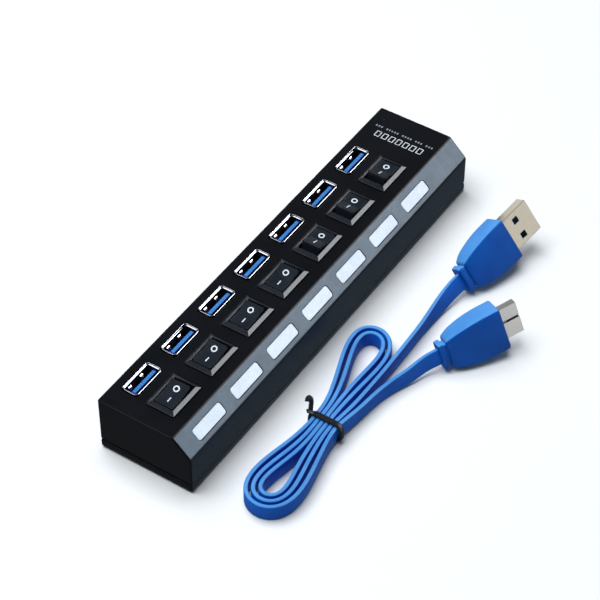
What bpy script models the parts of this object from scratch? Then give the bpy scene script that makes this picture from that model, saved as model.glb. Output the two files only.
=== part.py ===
"""A seven-port hub with a rocker switch for every port, and its flat cable folded beside it.

Frame: metres, +Z up. +X runs along the case to the socket end, and -Y points to the windows.
The origin is under the middle of the case, on the surface that its rubber strips stand on.
"""

import math

import bmesh
import bpy
from mathutils import Vector

MM = 0.001
GAP = 0.3 * MM  # clearance between pieces that touch on the real object

# Case
CASE_LENGTH = 162 * MM
CASE_WIDTH = 34.4 * MM
CASE_FLOOR = 0.5 * MM
CASE_TOP = 21.5 * MM
CHAMFER_IN = 6.7 * MM
CHAMFER_DOWN = 6.4 * MM
WALL = 1.8 * MM
EDGE_ROUND = 0.6 * MM
PLATE_TOP = 3.5 * MM
PARTING = PLATE_TOP + GAP

# Stations: one port, switch and window at each
STATIONS = 7
FIRST_STATION = -66.8 * MM
STATION_PITCH = 19.8 * MM
PORT_Y = 10.7 * MM
SWITCH_Y = -1.2 * MM

# Receptacles
SHELL_HALF = (6.6 * MM, 2.9 * MM)
SHELL_CORNER = 0.8 * MM
SHEET = 0.35 * MM
SHELL_PROUD = 0.4 * MM
TONGUE_HALF_LENGTH = 5.6 * MM
TONGUE_SIDE = (-1.7 * MM, 0.2 * MM)
TONGUE_BASE_HALF = 2.25 * MM
TONGUE_BASE_HEIGHT = 4 * MM
TONGUE_BELOW_TOP = 0.8 * MM

# Switches
BEZEL_HALF = (7.225 * MM, 5.1 * MM)
BEZEL_SEAT = 0.4 * MM  # depth of the seat cut for it in the case
BEZEL_RISE = 1.0 * MM
BEZEL_EDGE = 0.2 * MM
SWITCH_BODY_HALF = (6.5 * MM, 4.3 * MM)
SWITCH_OPENING_HALF = (5.755 * MM, 3.7 * MM)
SWITCH_BODY_FLOOR = 13.0 * MM
SWITCH_CAVITY_FLOOR = 14.0 * MM
PIVOT_BELOW_RIM = 3.25 * MM
PIN_RADIUS = 0.9 * MM
ROCKER_HALF = (4.7 * MM, 3.4 * MM)
ROCKER_VALLEY = 3.3 * MM
ROCKER_THROW = math.radians(23)  # from one pressed end to the other
PRESSED_NEAR = 4  # the first four rockers rest with the near end down, the others the far end

# Windows and lights
WINDOW_HALF = (7.1 * MM, 2.15 * MM)
WINDOW_CORNER = 1.0 * MM
WINDOW_UP = -0.46 * MM
WINDOW_RECESS = 0.7 * MM
LIGHT_BAR_THICK = 1.2 * MM
LIGHT_BAR_HALF_WIDTH = 3.0 * MM
LIGHT_BAR_ENDS = (-74.7 * MM, 59.8 * MM)
LED_SIZE = (5 * MM, 2.2 * MM, 5.5 * MM)
LED_Y = -12.3 * MM
POWER_LENS = (75.9 * MM, 12.9 * MM)
POWER_LENS_RADIUS = 0.6 * MM

# Board and what stands on it
BOARD_HALF = (78.6 * MM, 14.9 * MM)
BOARD_BOTTOM = 5.5 * MM
BOARD_TOP = 7.1 * MM
SEAT = BOARD_TOP + GAP
CHIP_HALF = 4.5 * MM
CHIP_HEIGHT = 0.9 * MM
CHIP_PLACES = {"hub_controller_a": (-46.9 * MM, -4 * MM), "hub_controller_b": (12.5 * MM, -4 * MM)}

# Far-end sockets
JACK_Y = 8 * MM
JACK_X = (66 * MM, 78.9 * MM)
JACK_HALF_WIDTH = 4.5 * MM
JACK_HEIGHT = 10.4 * MM
JACK_NOSE = 3.8 * MM
JACK_BORE = 3.0 * MM
JACK_BORE_START = 70 * MM
UPSTREAM_Y = -5 * MM
UPSTREAM_X = (73.5 * MM, 80.7 * MM)
UPSTREAM_HALF = (6.2 * MM, 1.6 * MM)

# Screws, bosses and feet
BOSS_PLACES = [(x * MM, y * MM) for x in (-77.3, 63.3) for y in (-11.5, 11.5)]
BOSS_RADIUS = 2.2 * MM
BOSS_TOPS = {-1: 17.9 * MM, 1: 20.6 * MM}  # the window side's end in the chamfer's wall, the others in the roof
SCREW_SHANK = 1.05 * MM
SCREW_HEAD = 2.2 * MM
POST_PLACES = [(x * MM, 0.0) for x in (-56.9, -17.3, 22.3, 57.0)]
PAD_HALF = (79 * MM, 3.5 * MM)
PAD_Y = 11.5 * MM
PAD_THICK = 1.0 * MM
PAD_POCKET = 1.3 * MM

# Cable: a flat cord on its edge, folded into two loops that a tie holds at the waist
RIBBON_WIDTH = 6 * MM
RIBBON_THICK = 1.4 * MM
TIE = (-39 * MM, -38 * MM)
LANE_PITCH = 1.6 * MM
HANK_MARGIN = 0.9 * MM
NEAR_LOOP = {"reach": 38 * MM, "hold": 4.0 * MM, "spread": 19.9 * MM, "shape": 3.5}
FAR_LOOP = {"reach": 43 * MM, "hold": 2.4 * MM, "spread": 20.9 * MM, "shape": 4.3}
FAR_LOOP_BEND = (0.163, 8 * MM)
TAIL_RADIUS = 2 * MM
TAIL_STEP = 5 * MM
LARGE_LANE = [(-39, -40.4), (-33, -40.8), (-25, -41.1), (-12, -41.2), (-1, -41.0)]
LARGE_TAIL = [(-0.7, -41.0, 3.0), (8, -40.7, 3.0), (18, -40.4, 3.1), (27, -40.2, 3.6)]
SMALL_LANE = [(-39, -42.0), (-34, -42.6), (-28, -43.3), (-22, -43.9), (-17.5, -44.6)]
SMALL_TAIL = [(-17.2, -44.65, 3.0), (-12, -46.0, 3.1), (-6.5, -48.0, 3.6)]
LARGE_PLUG = {"rear": (37.5, -41.4), "yaw": -10, "roll": 58}
SMALL_PLUG = {"rear": (4.5, -52.6), "yaw": -30, "roll": 72}
PLUG_FRONT = 22.4 * MM
PLUG_RINGS = [  # distance from the cord end, half width, half thickness, corner radius
    (0.0, 4.7, 2.1, 0.9),
    (0.3, 4.9, 2.3, 0.9),
    (1.8, 4.9, 2.3, 0.9),
    (1.8, 4.2, 1.8, 0.8),
    (2.8, 4.2, 1.8, 0.8),
    (2.8, 5.4, 2.6, 0.8),
    (6.0, 6.5, 3.3, 0.8),
    (11.0, 7.4, 3.8, 0.8),
    (16.0, 7.8, 4.0, 0.8),
    (21.9, 7.8, 4.0, 0.8),
    (22.4, 7.4, 3.6, 0.6),
]
LARGE_SHELL_HALF = (6.0 * MM, 2.25 * MM)
LARGE_SHELL_LENGTH = 12 * MM
LATCH_WINDOW_Y = 3.0 * MM
SMALL_SHELL_HALF = (5.7 * MM, 1.3 * MM)
SMALL_SHELL_LENGTH = 6.5 * MM
SMALL_SHELL_NECK = (0.1 * MM, 0.9 * MM)  # the neck between its wide and its narrow section
SMALL_SHELL_NECK_HALF = 0.6 * MM
SHELL_POCKET = 1.5 * MM


def clear_scene():
    for obj in list(bpy.data.objects):
        bpy.data.objects.remove(obj)


def material(name, colour, roughness, metallic=0.0):
    made = bpy.data.materials.new(name)
    made.use_nodes = True
    shader = made.node_tree.nodes["Principled BSDF"]
    shader.inputs["Base Color"].default_value = (*colour, 1)
    shader.inputs["Roughness"].default_value = roughness
    shader.inputs["Metallic"].default_value = metallic
    return made


# Outlines: lists of (a, b) points, anticlockwise


def rectangle(half_a, half_b, centre=(0.0, 0.0)):
    a, b = centre
    return [(a - half_a, b - half_b), (a + half_a, b - half_b), (a + half_a, b + half_b), (a - half_a, b + half_b)]


def chamfered(half_a, half_b, cut, centre=(0.0, 0.0)):
    a, b = centre
    corner = [(half_a, half_b - cut), (half_a - cut, half_b)]
    points = []
    for sign_a, sign_b in ((1, 1), (-1, 1), (-1, -1), (1, -1)):
        pair = corner if sign_a * sign_b > 0 else corner[::-1]
        points += [(a + sign_a * p, b + sign_b * q) for p, q in pair]
    return points


def rounded(half_a, half_b, radius, steps=3, centre=(0.0, 0.0)):
    a, b = centre
    points = []
    for quarter, (sign_a, sign_b) in enumerate(((1, 1), (-1, 1), (-1, -1), (1, -1))):
        for step in range(steps + 1):
            turn = math.radians(90) * (quarter + step / steps)
            points.append(
                (
                    a + sign_a * (half_a - radius) + radius * math.cos(turn),
                    b + sign_b * (half_b - radius) + radius * math.sin(turn),
                )
            )
    return points


def circle(radius, centre=(0.0, 0.0), sides=16):
    turns = [math.tau * side / sides for side in range(sides)]
    return [(centre[0] + radius * math.cos(turn), centre[1] + radius * math.sin(turn)) for turn in turns]


def inset(outline, distance):
    """A convex outline moved inwards by the same distance on every side."""
    corners = [Vector(point) for point in outline]
    moved = []
    for i, corner in enumerate(corners):
        before = (corner - corners[i - 1]).normalized()
        after = (corners[(i + 1) % len(corners)] - corner).normalized()
        inward = [Vector((-side.y, side.x)) for side in (before, after)]
        moved.append(corner + distance * (inward[0] + inward[1]) / (1 + inward[0].dot(inward[1])))
    return [tuple(corner) for corner in moved]


# Solids


def along(axis, outline, place):
    """The outline's points in space, in the plane that crosses the axis at this place."""
    if axis == "X":
        return [(place, a, b) for a, b in outline]
    if axis == "Y":
        return [(a, place, b) for a, b in outline]
    return [(a, b, place) for a, b in outline]


def add_loft(bm, rings, hollow=False):
    """Joins rings of equally many points; a hollow loft closes on its first ring, another is capped."""
    loops = [[bm.verts.new(point) for point in ring] for ring in rings]
    pairs = list(zip(loops, loops[1:]))
    if hollow:
        pairs.append((loops[-1], loops[0]))
    else:
        bm.faces.new(loops[0][::-1])
        bm.faces.new(loops[-1])
    for lower, upper in pairs:
        for i in range(len(lower)):
            bm.faces.new((lower[i - 1], lower[i], upper[i], upper[i - 1]))


def solid(name, lofts, finish=None, hollow=False):
    """One object made of lofts; each loft is a list of rings."""
    bm = bmesh.new()
    for rings in lofts:
        add_loft(bm, rings, hollow)
    bmesh.ops.recalc_face_normals(bm, faces=bm.faces)
    mesh = bpy.data.meshes.new(name)
    bm.to_mesh(mesh)
    bm.free()
    obj = bpy.data.objects.new(name, mesh)
    bpy.context.scene.collection.objects.link(obj)
    if finish:
        mesh.materials.append(finish)
    return obj


def prism(axis, outline, start, end):
    return [along(axis, outline, start), along(axis, outline, end)]


def block(low, high):
    centre = ((low[0] + high[0]) / 2, (low[1] + high[1]) / 2)
    outline = rectangle((high[0] - low[0]) / 2, (high[1] - low[1]) / 2, centre)
    return prism("Z", outline, low[2], high[2])


def helper(name, lofts):
    """A shape that only cuts or extends another piece."""
    obj = solid(name, lofts)
    obj.hide_render = True
    obj.display_type = "WIRE"
    return obj


def combine(obj, operation, name, lofts, parent=None):
    tool = helper(name, lofts)
    tool.parent = parent
    modifier = obj.modifiers.new(name, "BOOLEAN")
    modifier.operation = operation
    modifier.object = tool
    modifier.solver = "EXACT"


def round_edges(obj, width, segments=2):
    modifier = obj.modifiers.new("rounded edges", "BEVEL")
    modifier.width = width
    modifier.segments = segments
    modifier.limit_method = "ANGLE"
    modifier.angle_limit = math.radians(30)


def smooth(obj, sharp=40):
    obj.data.shade_smooth()
    obj.data.set_sharp_from_angle(angle=math.radians(sharp))


def stations():
    return [(i + 1, FIRST_STATION + i * STATION_PITCH) for i in range(STATIONS)]


# Case


def case_profile(bottom):
    side = CASE_WIDTH / 2
    return [
        (-side, bottom),
        (side, bottom),
        (side, CASE_TOP),
        (-side + CHAMFER_IN, CASE_TOP),
        (-side, CASE_TOP - CHAMFER_DOWN),
    ]


def on_chamfer(outline, out):
    """Points of an outline drawn on the chamfer: a runs along the case, b up the slope."""
    up = Vector((0, CHAMFER_IN, CHAMFER_DOWN)).normalized()
    normal = Vector((0, -up.z, up.y))
    middle = Vector((0, (CHAMFER_IN - CASE_WIDTH) / 2, CASE_TOP - CHAMFER_DOWN / 2))
    return [middle + Vector((a, 0, 0)) + b * up + out * normal for a, b in outline]


def chamfer_prism(outline, start, end):
    return [on_chamfer(outline, start), on_chamfer(outline, end)]


def window_outline(x, clearance=0.0):
    half_a, half_b = (half - clearance for half in WINDOW_HALF)
    return rounded(half_a, half_b, WINDOW_CORNER - clearance / 2, centre=(x, WINDOW_UP))


def jack_centre():
    return (JACK_Y, SEAT + JACK_HEIGHT / 2)


def upstream_centre():
    return (UPSTREAM_Y, SEAT + UPSTREAM_HALF[1])


def make_top_cover(finish):
    half = CASE_LENGTH / 2
    cover = solid("top_cover", [prism("X", case_profile(PARTING), -half, half)], finish)
    round_edges(cover, EDGE_ROUND)
    inside = inset(case_profile(PARTING - 2 * WALL), WALL)
    combine(cover, "DIFFERENCE", "cut_inside", [prism("X", inside, WALL - half, half - WALL)])
    bosses = []
    for x, y in BOSS_PLACES:
        top = BOSS_TOPS[-1 if y < 0 else 1]
        bosses.append(prism("Z", circle(BOSS_RADIUS, (x, y)), PARTING + 0.4 * MM, top))
    combine(cover, "UNION", "add_bosses", bosses)
    through = (CASE_TOP - 2 * WALL, CASE_TOP + WALL)
    holes = [prism("Z", circle(SCREW_SHANK + GAP, place, 12), 0, 12 * MM) for place in BOSS_PLACES]
    holes.append(prism("Z", circle(POWER_LENS_RADIUS + GAP, POWER_LENS, 12), *through))
    for _, x in stations():
        port = chamfered(SHELL_HALF[0] + GAP, SHELL_HALF[1] + GAP, SHELL_CORNER, (x, PORT_Y))
        holes.append(prism("Z", port, *through))
        body = rectangle(SWITCH_BODY_HALF[0] + GAP, SWITCH_BODY_HALF[1] + GAP, (x, SWITCH_Y))
        holes.append(prism("Z", body, *through))
        holes.append(chamfer_prism(window_outline(x), -2 * WALL, WALL))
    past = (half - 2 * WALL, half + WALL)
    holes.append(prism("X", circle(JACK_NOSE + GAP, jack_centre(), 20), *past))
    mouth = rounded(UPSTREAM_HALF[0] + GAP, UPSTREAM_HALF[1] + GAP, 1.2 * MM, centre=upstream_centre())
    holes.append(prism("X", mouth, *past))
    combine(cover, "DIFFERENCE", "cut_holes", holes)
    seats = [
        prism(
            "Z",
            rectangle(BEZEL_HALF[0] + GAP, BEZEL_HALF[1] + GAP, (x, SWITCH_Y)),
            CASE_TOP - BEZEL_SEAT,
            CASE_TOP + WALL,
        )
        for _, x in stations()
    ]
    combine(cover, "DIFFERENCE", "cut_bezel_seats", seats)


def make_bottom_cover(finish):
    half = (CASE_LENGTH / 2, CASE_WIDTH / 2)
    low, high = (-half[0], -half[1], CASE_FLOOR), (half[0], half[1], PLATE_TOP)
    cover = solid("bottom_cover", [block(low, high)], finish)
    round_edges(cover, EDGE_ROUND)
    lip_outer = half[1] - WALL - GAP
    lip_inner = lip_outer - 1.3 * MM
    raised = []
    for side in (-1, 1):
        near, far = sorted((side * lip_inner, side * lip_outer))
        raised.append(block((-72 * MM, near, PLATE_TOP - GAP), (58 * MM, far, BOARD_BOTTOM - GAP)))
    for place in POST_PLACES:
        raised.append(prism("Z", circle(2.2 * MM, place, 12), PLATE_TOP - GAP, BOARD_BOTTOM - GAP))
    combine(cover, "UNION", "add_lips_and_posts", raised)
    pockets = []
    for side in (-1, 1):
        outline = rounded(PAD_HALF[0] + GAP, PAD_HALF[1] + GAP, 1.5 * MM, centre=(0, side * PAD_Y))
        pockets.append(prism("Z", outline, CASE_FLOOR - WALL, PAD_POCKET))
    combine(cover, "DIFFERENCE", "cut_pad_pockets", pockets)
    sunk = [prism("Z", circle(SCREW_HEAD + GAP, place), 0, 2.8 * MM) for place in BOSS_PLACES]
    combine(cover, "DIFFERENCE", "cut_screw_seats", sunk)
    shanks = [prism("Z", circle(SCREW_SHANK + GAP, place, 12), 0, PLATE_TOP + WALL) for place in BOSS_PLACES]
    combine(cover, "DIFFERENCE", "cut_screw_holes", shanks)


def make_feet_and_screws(rubber, steel):
    for name, side in (("foot_strip_window_side", -1), ("foot_strip_port_side", 1)):
        outline = rounded(*PAD_HALF, 1.5 * MM, centre=(0, side * PAD_Y))
        strip = solid(name, [prism("Z", outline, 0, PAD_THICK)], rubber)
        round_edges(strip, 0.2 * MM, 1)
    for number, place in enumerate(BOSS_PLACES, 1):
        heights = (PAD_POCKET + 0.1 * MM, 2.5 * MM, 11 * MM)
        rings = [
            along("Z", circle(SCREW_HEAD, place), heights[0]),
            along("Z", circle(SCREW_HEAD, place), heights[1]),
            along("Z", circle(SCREW_SHANK, place), heights[1]),
            along("Z", circle(SCREW_SHANK, place), heights[2]),
        ]
        smooth(solid(f"case_screw_{number}", [rings], steel))


# Board


def make_board(laminate, chip):
    low, high = (-BOARD_HALF[0], -BOARD_HALF[1], BOARD_BOTTOM), (*BOARD_HALF, BOARD_TOP)
    board = solid("main_board", [block(low, high)], laminate)
    holes = [prism("Z", circle(BOSS_RADIUS + GAP, place), 0, BOARD_TOP + WALL) for place in BOSS_PLACES]
    combine(board, "DIFFERENCE", "cut_boss_holes", holes)
    for name, (x, y) in CHIP_PLACES.items():
        outline = chamfered(CHIP_HALF, CHIP_HALF, 0.4 * MM, (x, y))
        solid(name, [prism("Z", outline, SEAT, SEAT + CHIP_HEIGHT)], chip)


def make_lights(clear, lens):
    bar_outline = rectangle(
        (LIGHT_BAR_ENDS[1] - LIGHT_BAR_ENDS[0]) / 2,
        LIGHT_BAR_HALF_WIDTH,
        ((LIGHT_BAR_ENDS[0] + LIGHT_BAR_ENDS[1]) / 2, WINDOW_UP),
    )
    front = -WALL - GAP
    bar = solid("light_bar", [chamfer_prism(bar_outline, front - LIGHT_BAR_THICK, front)], clear)
    pads = [
        chamfer_prism(window_outline(x, GAP), front - LIGHT_BAR_THICK / 2, -WINDOW_RECESS) for _, x in stations()
    ]
    combine(bar, "UNION", "add_window_pads", pads)
    length, depth, height = LED_SIZE
    for number, x in stations():
        low = (x - length / 2, LED_Y - depth / 2, SEAT)
        led = solid(f"led_{number}", [block(low, (low[0] + length, low[1] + depth, SEAT + height))], lens)
        round_edges(led, 0.3 * MM, 1)
    under = CASE_TOP - WALL - GAP
    steps = [(1.5 * MM, under - 1.2 * MM), (1.5 * MM, under), (POWER_LENS_RADIUS, under)]
    steps.append((POWER_LENS_RADIUS, CASE_TOP - 0.2 * MM))
    rings = [along("Z", circle(radius, POWER_LENS, 12), height) for radius, height in steps]
    smooth(solid("power_lens", [rings], clear))


# Receptacles and sockets


def make_ports(steel, blue):
    outer = [(half, SHELL_CORNER) for half in SHELL_HALF]
    top = CASE_TOP + SHELL_PROUD
    for number, x in stations():
        centre = (x, PORT_Y)
        wide = chamfered(outer[0][0], outer[1][0], SHELL_CORNER, centre)
        narrow = inset(wide, SHEET)
        rings = [along("Z", wide, SEAT), along("Z", wide, top), along("Z", narrow, top), along("Z", narrow, SEAT)]
        solid(f"port_shell_{number}", [rings], steel, hollow=True)
        tip = top - TONGUE_BELOW_TOP
        back, front = (PORT_Y + side for side in TONGUE_SIDE)
        bevel = 0.35 * MM
        outline = [
            (PORT_Y - TONGUE_BASE_HALF, SEAT),
            (PORT_Y + TONGUE_BASE_HALF, SEAT),
            (PORT_Y + TONGUE_BASE_HALF, SEAT + TONGUE_BASE_HEIGHT),
            (front, SEAT + TONGUE_BASE_HEIGHT),
            (front, tip - bevel),
            (front - bevel, tip),
            (back + bevel, tip),
            (back, tip - bevel),
            (back, SEAT + TONGUE_BASE_HEIGHT),
            (PORT_Y - TONGUE_BASE_HALF, SEAT + TONGUE_BASE_HEIGHT),
        ]
        ends = (x - TONGUE_HALF_LENGTH, x + TONGUE_HALF_LENGTH)
        solid(f"port_tongue_{number}", [prism("X", outline, *ends)], blue)


def make_far_sockets(steel, black, pin_metal):
    y, z = jack_centre()
    outline = rectangle(JACK_HALF_WIDTH, JACK_HEIGHT / 2, (y, z))
    jack = solid("power_jack", [prism("X", outline, *JACK_X)], black)
    nose_end = CASE_LENGTH / 2 - 0.2 * MM
    combine(jack, "UNION", "add_nose", [prism("X", circle(JACK_NOSE, (y, z), 20), JACK_X[1] - 1 * MM, nose_end)])
    bore = prism("X", circle(JACK_BORE, (y, z), 20), JACK_BORE_START, nose_end + WALL)
    combine(jack, "DIFFERENCE", "cut_bore", [bore])
    pin = prism("X", circle(1.0 * MM, (y, z), 12), JACK_BORE_START + GAP, nose_end - 0.8 * MM)
    smooth(solid("power_jack_pin", [pin], pin_metal))
    centre = upstream_centre()
    wide = rounded(*UPSTREAM_HALF, 1.1 * MM, centre=centre)
    narrow = inset(wide, SHEET)
    back, front = UPSTREAM_X
    rings = [along("X", wide, back), along("X", wide, front), along("X", narrow, front), along("X", narrow, back)]
    solid("upstream_shell", [rings], steel, hollow=True)
    base_half = (UPSTREAM_HALF[0] - SHEET - GAP, UPSTREAM_HALF[1] - SHEET - GAP)
    tongue_half = (base_half[0] - 0.6 * MM, 0.35 * MM)
    base_end = back + 1.8 * MM
    rings = [
        along("X", rectangle(*base_half, centre), back),
        along("X", rectangle(*base_half, centre), base_end),
        along("X", rectangle(*tongue_half, centre), base_end),
        along("X", rectangle(*tongue_half, centre), front - 0.9 * MM),
    ]
    solid("upstream_tongue", [rings], black)


# Switches


def make_switches(bezel_plastic, rocker_plastic):
    rim = CASE_TOP + BEZEL_RISE
    seat = CASE_TOP - BEZEL_SEAT + GAP
    pivot = rim - PIVOT_BELOW_RIM
    edge = [half + BEZEL_EDGE for half in SWITCH_OPENING_HALF]
    steps = [
        (SWITCH_BODY_HALF, SWITCH_BODY_FLOOR),
        (SWITCH_BODY_HALF, seat),
        (BEZEL_HALF, seat),
        (BEZEL_HALF, CASE_TOP + 0.2 * MM),
        (edge, rim),
        (SWITCH_OPENING_HALF, rim),
        (SWITCH_OPENING_HALF, SWITCH_CAVITY_FLOOR),
    ]
    length, width = ROCKER_HALF
    end_height = ROCKER_VALLEY + length * math.tan(ROCKER_THROW / 2)
    profile = [
        (-length, 0.5 * MM),
        (-0.6 * length, -2.2 * MM),
        (0.6 * length, -2.2 * MM),
        (length, 0.5 * MM),
        (length, end_height),
        (0, ROCKER_VALLEY),
        (-length, end_height),
    ]
    pin_end = SWITCH_BODY_HALF[1] - GAP
    for number, x in stations():
        rings = [along("Z", rectangle(*half, (x, SWITCH_Y)), height) for half, height in steps]
        housing = solid(f"switch_housing_{number}", [rings], bezel_plastic)
        wall = SWITCH_BODY_HALF[1] + GAP
        hole = prism("Y", circle(PIN_RADIUS + GAP, (x, pivot), 12), SWITCH_Y - wall, SWITCH_Y + wall)
        combine(housing, "DIFFERENCE", f"cut_pin_hole_{number}", [hole])
        rocker = solid(f"rocker_{number}", [prism("Y", profile, -width, width)], rocker_plastic)
        round_edges(rocker, 0.3 * MM, 2)
        pins = prism("Y", circle(PIN_RADIUS, sides=12), -pin_end, pin_end)
        combine(rocker, "UNION", f"add_pins_{number}", [pins], parent=rocker)
        rocker.location = (x, SWITCH_Y, pivot)
        side = -1 if number <= PRESSED_NEAR else 1
        rocker.rotation_euler.y = side * ROCKER_THROW / 2


# Cable


def loop_points(loop, side, first, last, steps, grow=0.0):
    """Points of a drop-shaped loop that leaves the tie at +hold and comes back at -hold."""
    points = []
    for step in range(steps + 1):
        half_turn = math.radians(first + (last - first) * step / steps) / 2
        out, across = math.sin(half_turn), math.cos(half_turn)
        away = (loop["reach"] + grow) * out**2
        aside = (loop["hold"] + grow) * across + loop["spread"] * out ** loop["shape"] * across
        aside += grow * out**2 * across
        if side > 0:
            lean, ease = FAR_LOOP_BEND
            aside += 1.0 * LANE_PITCH + lean * away**2 / (away + ease)
        points.append((TIE[0] + side * away, TIE[1] + aside))
    return points


def smooth_route(points, spacing):
    """Evenly spaced points on a smooth curve through the route's own points."""
    points = [Vector(point) for point in points]
    ends = [2 * points[0] - points[1], *points, 2 * points[-1] - points[-2]]
    dense = []
    for a, b, c, d in zip(ends, ends[1:], ends[2:], ends[3:]):
        for part in range(20):
            t = part / 20
            dense.append(
                0.5 * (2 * b + (c - a) * t + (2 * a - 5 * b + 4 * c - d) * t**2 + (3 * b - a - 3 * c + d) * t**3)
            )
    dense.append(points[-1])
    lengths = [0.0]
    for before, after in zip(dense, dense[1:]):
        lengths.append(lengths[-1] + (after - before).length)
    count = max(3, round(lengths[-1] / spacing))
    even = []
    for i in range(count + 1):
        wanted = lengths[-1] * i / count
        index = min(len(dense) - 2, max(j for j, value in enumerate(lengths) if value <= wanted + 1e-9))
        span = lengths[index + 1] - lengths[index]
        even.append(dense[index].lerp(dense[index + 1], (wanted - lengths[index]) / span))
    return even


def make_hank(blue, black):
    outline = loop_points(NEAR_LOOP, -1, 0, 360, 18, HANK_MARGIN)[:-1]
    for lane in (SMALL_LANE, LARGE_LANE[3:]):
        outline += [(x * MM, y * MM - HANK_MARGIN) for x, y in lane]
    first_large = len(outline) - 2
    outline.insert(first_large, (SMALL_LANE[-1][0] * MM, LARGE_LANE[2][1] * MM - HANK_MARGIN))
    outline.append((LARGE_LANE[-1][0] * MM, LARGE_LANE[-1][1] * MM + HANK_MARGIN + 0.6 * MM))
    outline += loop_points(FAR_LOOP, 1, 216, 12, 17, HANK_MARGIN)
    hank = solid("cable_hank", [prism("Z", outline, 0, RIBBON_WIDTH)], blue)
    notch = block(
        (TIE[0] - 1.7 * MM, TIE[1] - 12 * MM, -1 * MM),
        (TIE[0] + 1.7 * MM, TIE[1] + 12 * MM, 1.2 * MM),
    )
    combine(hank, "DIFFERENCE", "cut_tie_notch", [notch])
    inner_half = (5.5 * MM, 3.25 * MM)
    thick = 0.8 * MM
    centre = (TIE[1], inner_half[1] + thick)
    outer = rounded(inner_half[0] + thick, inner_half[1] + thick, 2 * MM, centre=centre)
    inner = rounded(*inner_half, 2 * MM - thick, centre=centre)
    ends = (TIE[0] - 1.2 * MM, TIE[0] + 1.2 * MM)
    rings = [along("X", outer, ends[0]), along("X", outer, ends[1]), along("X", inner, ends[1])]
    rings.append(along("X", inner, ends[0]))
    solid("cable_tie", [rings], black, hollow=True)


def plug_frame(name, plug):
    """An empty at the cord end of a plug, turned so that the plug lies on its collar and its widest part."""
    roll = math.radians(plug["roll"])
    reach = [(x * MM, (a - r) * MM * math.sin(roll) + (b - r) * MM * math.cos(roll) + r * MM)
             for x, a, b, r in PLUG_RINGS]
    (rear, rear_height), (front, front_height) = reach[1], reach[8]
    pitch = math.atan2(front_height - rear_height, front - rear)
    height = max(down * math.cos(pitch) - x * math.sin(pitch) for x, down in reach)
    frame = bpy.data.objects.new(name, None)
    bpy.context.scene.collection.objects.link(frame)
    frame.location = (plug["rear"][0] * MM, plug["rear"][1] * MM, height)
    frame.rotation_euler = (roll, -pitch, math.radians(plug["yaw"]))
    bpy.context.view_layer.update()
    return frame


def plug_body(name, frame, shell_half, blue):
    """An overmoulded grip: a collar at the cord, a groove, a swelling body and a pocket for the shell."""
    pocket = rounded(shell_half[0] + GAP, shell_half[1] + GAP, 0.4 * MM, 2)
    rings = [along("X", rounded(a * MM, b * MM, r * MM, 2), x * MM) for x, a, b, r in PLUG_RINGS]
    rings.append(along("X", pocket, PLUG_FRONT))
    rings.append(along("X", pocket, PLUG_FRONT - SHELL_POCKET))
    body = solid(name, [rings], blue)
    smooth(body)
    body.parent = frame


def plug_shell(name, frame, outline, length, steel):
    """A folded metal shell, closed at the back and open at the mouth."""
    start = PLUG_FRONT - SHELL_POCKET + GAP
    end = PLUG_FRONT + length
    inner = inset(outline, SHEET)
    rings = [along("X", outline, start), along("X", outline, end), along("X", inner, end)]
    rings.append(along("X", inner, start + SHEET))
    shell = solid(name, [rings], steel)
    shell.parent = frame
    return shell


def necked(half_a, half_b, neck, neck_half):
    """Two rectangles side by side with a thinner neck between them."""
    start, end = neck
    lower = [(-half_a, -half_b), (start, -half_b), (start, -neck_half), (end, -neck_half), (end, -half_b)]
    upper = [(half_a, half_b), (end, half_b), (end, neck_half), (start, neck_half), (start, half_b)]
    return [*lower, (half_a, -half_b), *upper, (-half_a, half_b)]


def make_tail(name, route, frame, blue):
    """The cord from the hank to the plug, which it enters straight."""
    axis = frame.matrix_world.to_3x3() @ Vector((1, 0, 0))
    points = [Vector(point) * MM for point in route]
    points += [frame.location - 5 * MM * axis, frame.location - GAP * axis]
    data = bpy.data.curves.new(name, "CURVE")
    data.dimensions = "3D"
    data.bevel_depth = TAIL_RADIUS
    data.bevel_resolution = 2
    data.use_fill_caps = True
    spline = data.splines.new("POLY")
    even = smooth_route(points, TAIL_STEP)
    spline.points.add(len(even) - 1)
    for target, point in zip(spline.points, even):
        target.co = (*point, 1)
    data.materials.append(blue)
    bpy.context.scene.collection.objects.link(bpy.data.objects.new(name, data))


def make_cable(blue, steel, black):
    make_hank(blue, black)
    large = plug_frame("large_plug_frame", LARGE_PLUG)
    small = plug_frame("small_plug_frame", SMALL_PLUG)
    plug_body("large_plug_body", large, LARGE_SHELL_HALF, blue)
    outline = rounded(*LARGE_SHELL_HALF, 0.4 * MM, 2)
    shell = plug_shell("large_plug_shell", large, outline, LARGE_SHELL_LENGTH, steel)
    windows = []
    for y in (-LATCH_WINDOW_Y, LATCH_WINDOW_Y):
        low = (PLUG_FRONT + 4.0 * MM, y - 1.1 * MM, 0.5 * MM)
        windows.append(block(low, (low[0] + 2.3 * MM, low[1] + 2.2 * MM, 5 * MM)))
    combine(shell, "DIFFERENCE", "cut_latch_windows", windows, parent=large)
    plug_body("small_plug_body", small, SMALL_SHELL_HALF, blue)
    outline = necked(*SMALL_SHELL_HALF, SMALL_SHELL_NECK, SMALL_SHELL_NECK_HALF)
    plug_shell("small_plug_shell", small, outline, SMALL_SHELL_LENGTH, steel)
    make_tail("cable_to_large_plug", LARGE_TAIL, large, blue)
    make_tail("cable_to_small_plug", SMALL_TAIL, small, blue)


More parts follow.
